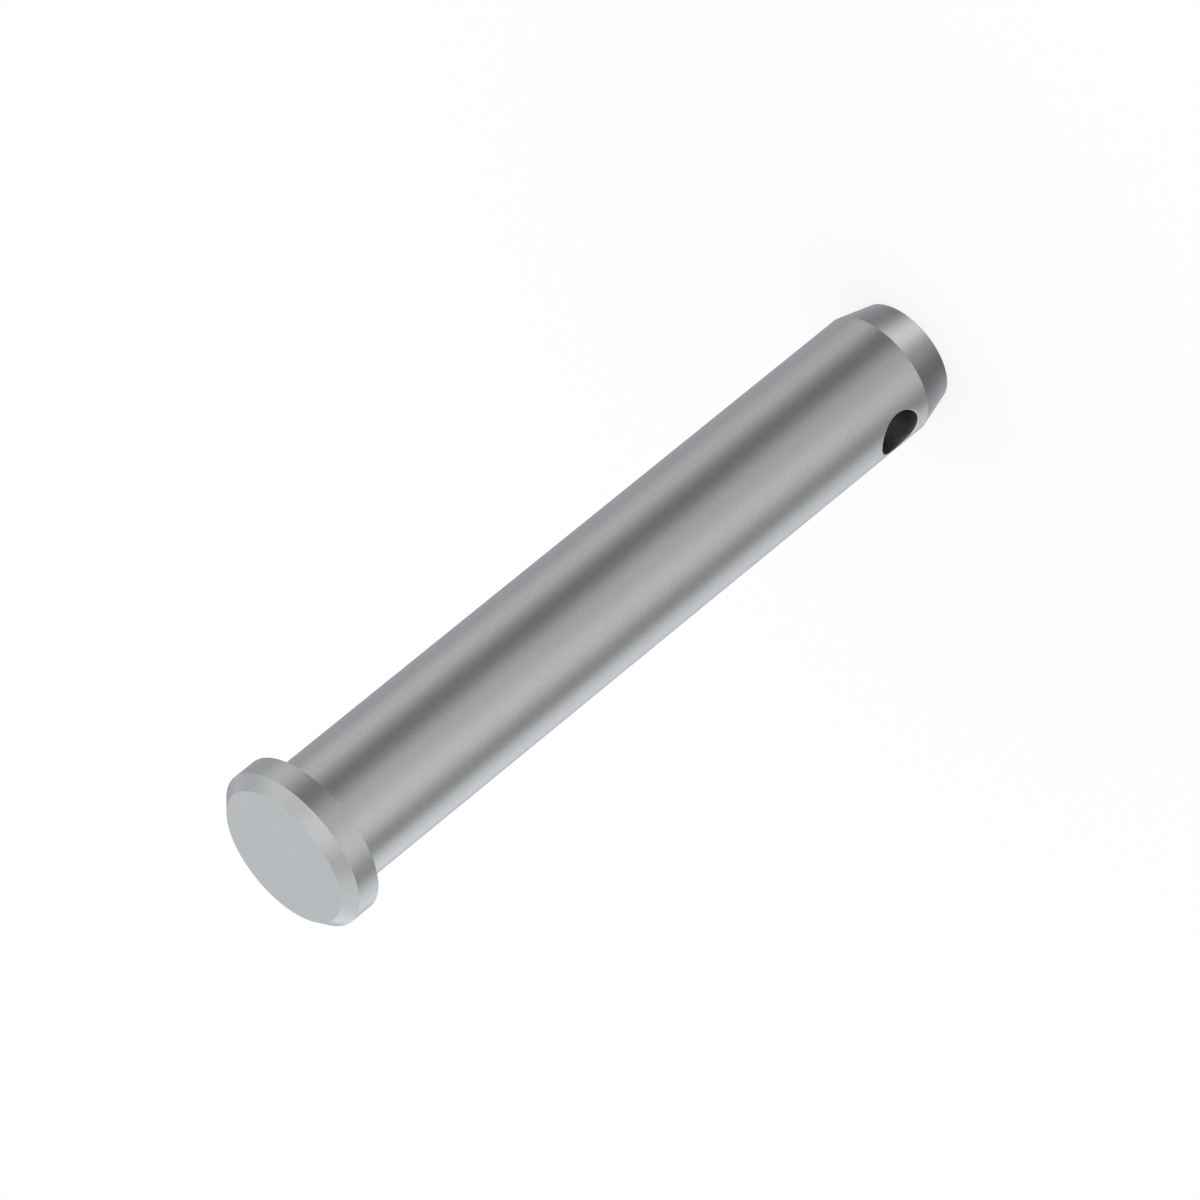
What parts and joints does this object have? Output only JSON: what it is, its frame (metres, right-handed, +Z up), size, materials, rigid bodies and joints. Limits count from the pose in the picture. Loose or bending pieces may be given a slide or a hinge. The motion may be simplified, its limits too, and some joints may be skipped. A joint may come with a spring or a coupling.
{
  "type": "headed pin",
  "caption": "Straight round steel pin with a flat chamfered head, a tapered tail and a hole across the tail for a split pin or clip.",
  "frame": {"origin": "centre of the flat tail end, on the surface that the pin stands on", "axes": "+Z up the pin's axis from the tail end to the head; the cross hole lies along Y"},
  "size_m": [0.0208, 0.0206, 0.1025],
  "materials": {
    "steel": "satin, finely turned"
  },
  "bodies": {
    "root": {"pin": "steel"}
  },
  "joints": []
}
